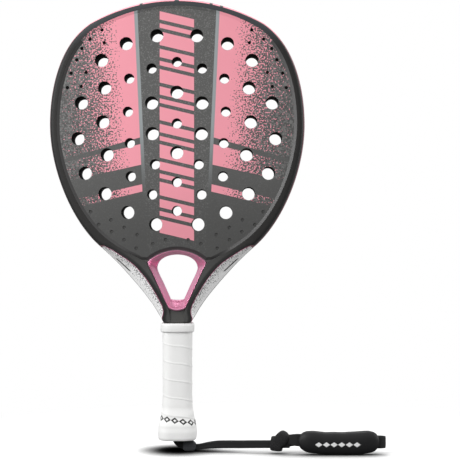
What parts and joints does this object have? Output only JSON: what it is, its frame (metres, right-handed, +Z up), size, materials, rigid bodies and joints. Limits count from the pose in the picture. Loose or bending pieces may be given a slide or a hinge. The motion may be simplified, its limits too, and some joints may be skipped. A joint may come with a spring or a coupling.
{
  "type": "padel racket",
  "caption": "Teardrop padel racket: drilled foam-cored head in a tube frame, open throat with a metallic ring, wrapped handle and a padded wrist strap.",
  "frame": {"origin": "on the surface under the racket, on the handle's axis, where the strap hitch stands", "axes": "+Z up the handle towards the crown, +X to the right when the front face is seen, front face towards -Y"},
  "size_m": [0.3394, 0.0585, 0.4589],
  "materials": {
    "frame": "satin black carbon laminate with painted pink and speckled silver sides",
    "face": "satin graphite laminate with pink panels",
    "trim": "metallic magenta",
    "foam": "expanded foam",
    "laminate": "raw laminate",
    "grip": "matte wrapped tape",
    "cap": "moulded",
    "collar": "moulded rubber",
    "steel": "zinc plated",
    "webbing": "woven polyester",
    "neoprene": "knit-faced neoprene"
  },
  "bodies": {
    "racket": {"frame_tube": "frame", "throat_insert": "trim", "throat_bridge": "laminate", "core_foam": "foam", "front_face": "face", "back_face": "face", "shaft_wedge": "frame", "handle_shell": "laminate", "handle_foam": "foam", "butt_cap": "cap", "butt_tack_left": "steel", "butt_tack_right": "steel", "base_grip": "grip", "overgrip": "grip", "finishing_tape": "grip", "grip_collar": "collar"},
    "strap_head": {"strap_stopper": "webbing", "strap_anchor": "webbing", "strap_hitch": "webbing"},
    "strap": {"strap_tail": "webbing", "wrist_loop": "webbing", "pad_sleeve": "neoprene", "pad_foam": "foam"},
    "keeper": {"strap_keeper": "webbing"}
  },
  "joints": [
    {"name": "strap_swivel", "type": "hinge", "parent": "racket", "child": "strap_head", "pos_m": [0, 0, 0.01], "axis": [0, 0, 1], "range_deg": [-180, 180]},
    {"name": "strap_droop", "type": "hinge", "parent": "strap_head", "child": "strap", "pos_m": [0.0238, -0.0068, 0.0047], "axis": [0, 1, 0], "range_deg": [-65, 90]},
    {"name": "keeper_slide", "type": "slide", "parent": "strap", "child": "keeper", "axis": [0.9789, -0.2011, 0.0349], "range_m": [-0.045, 0]}
  ]
}
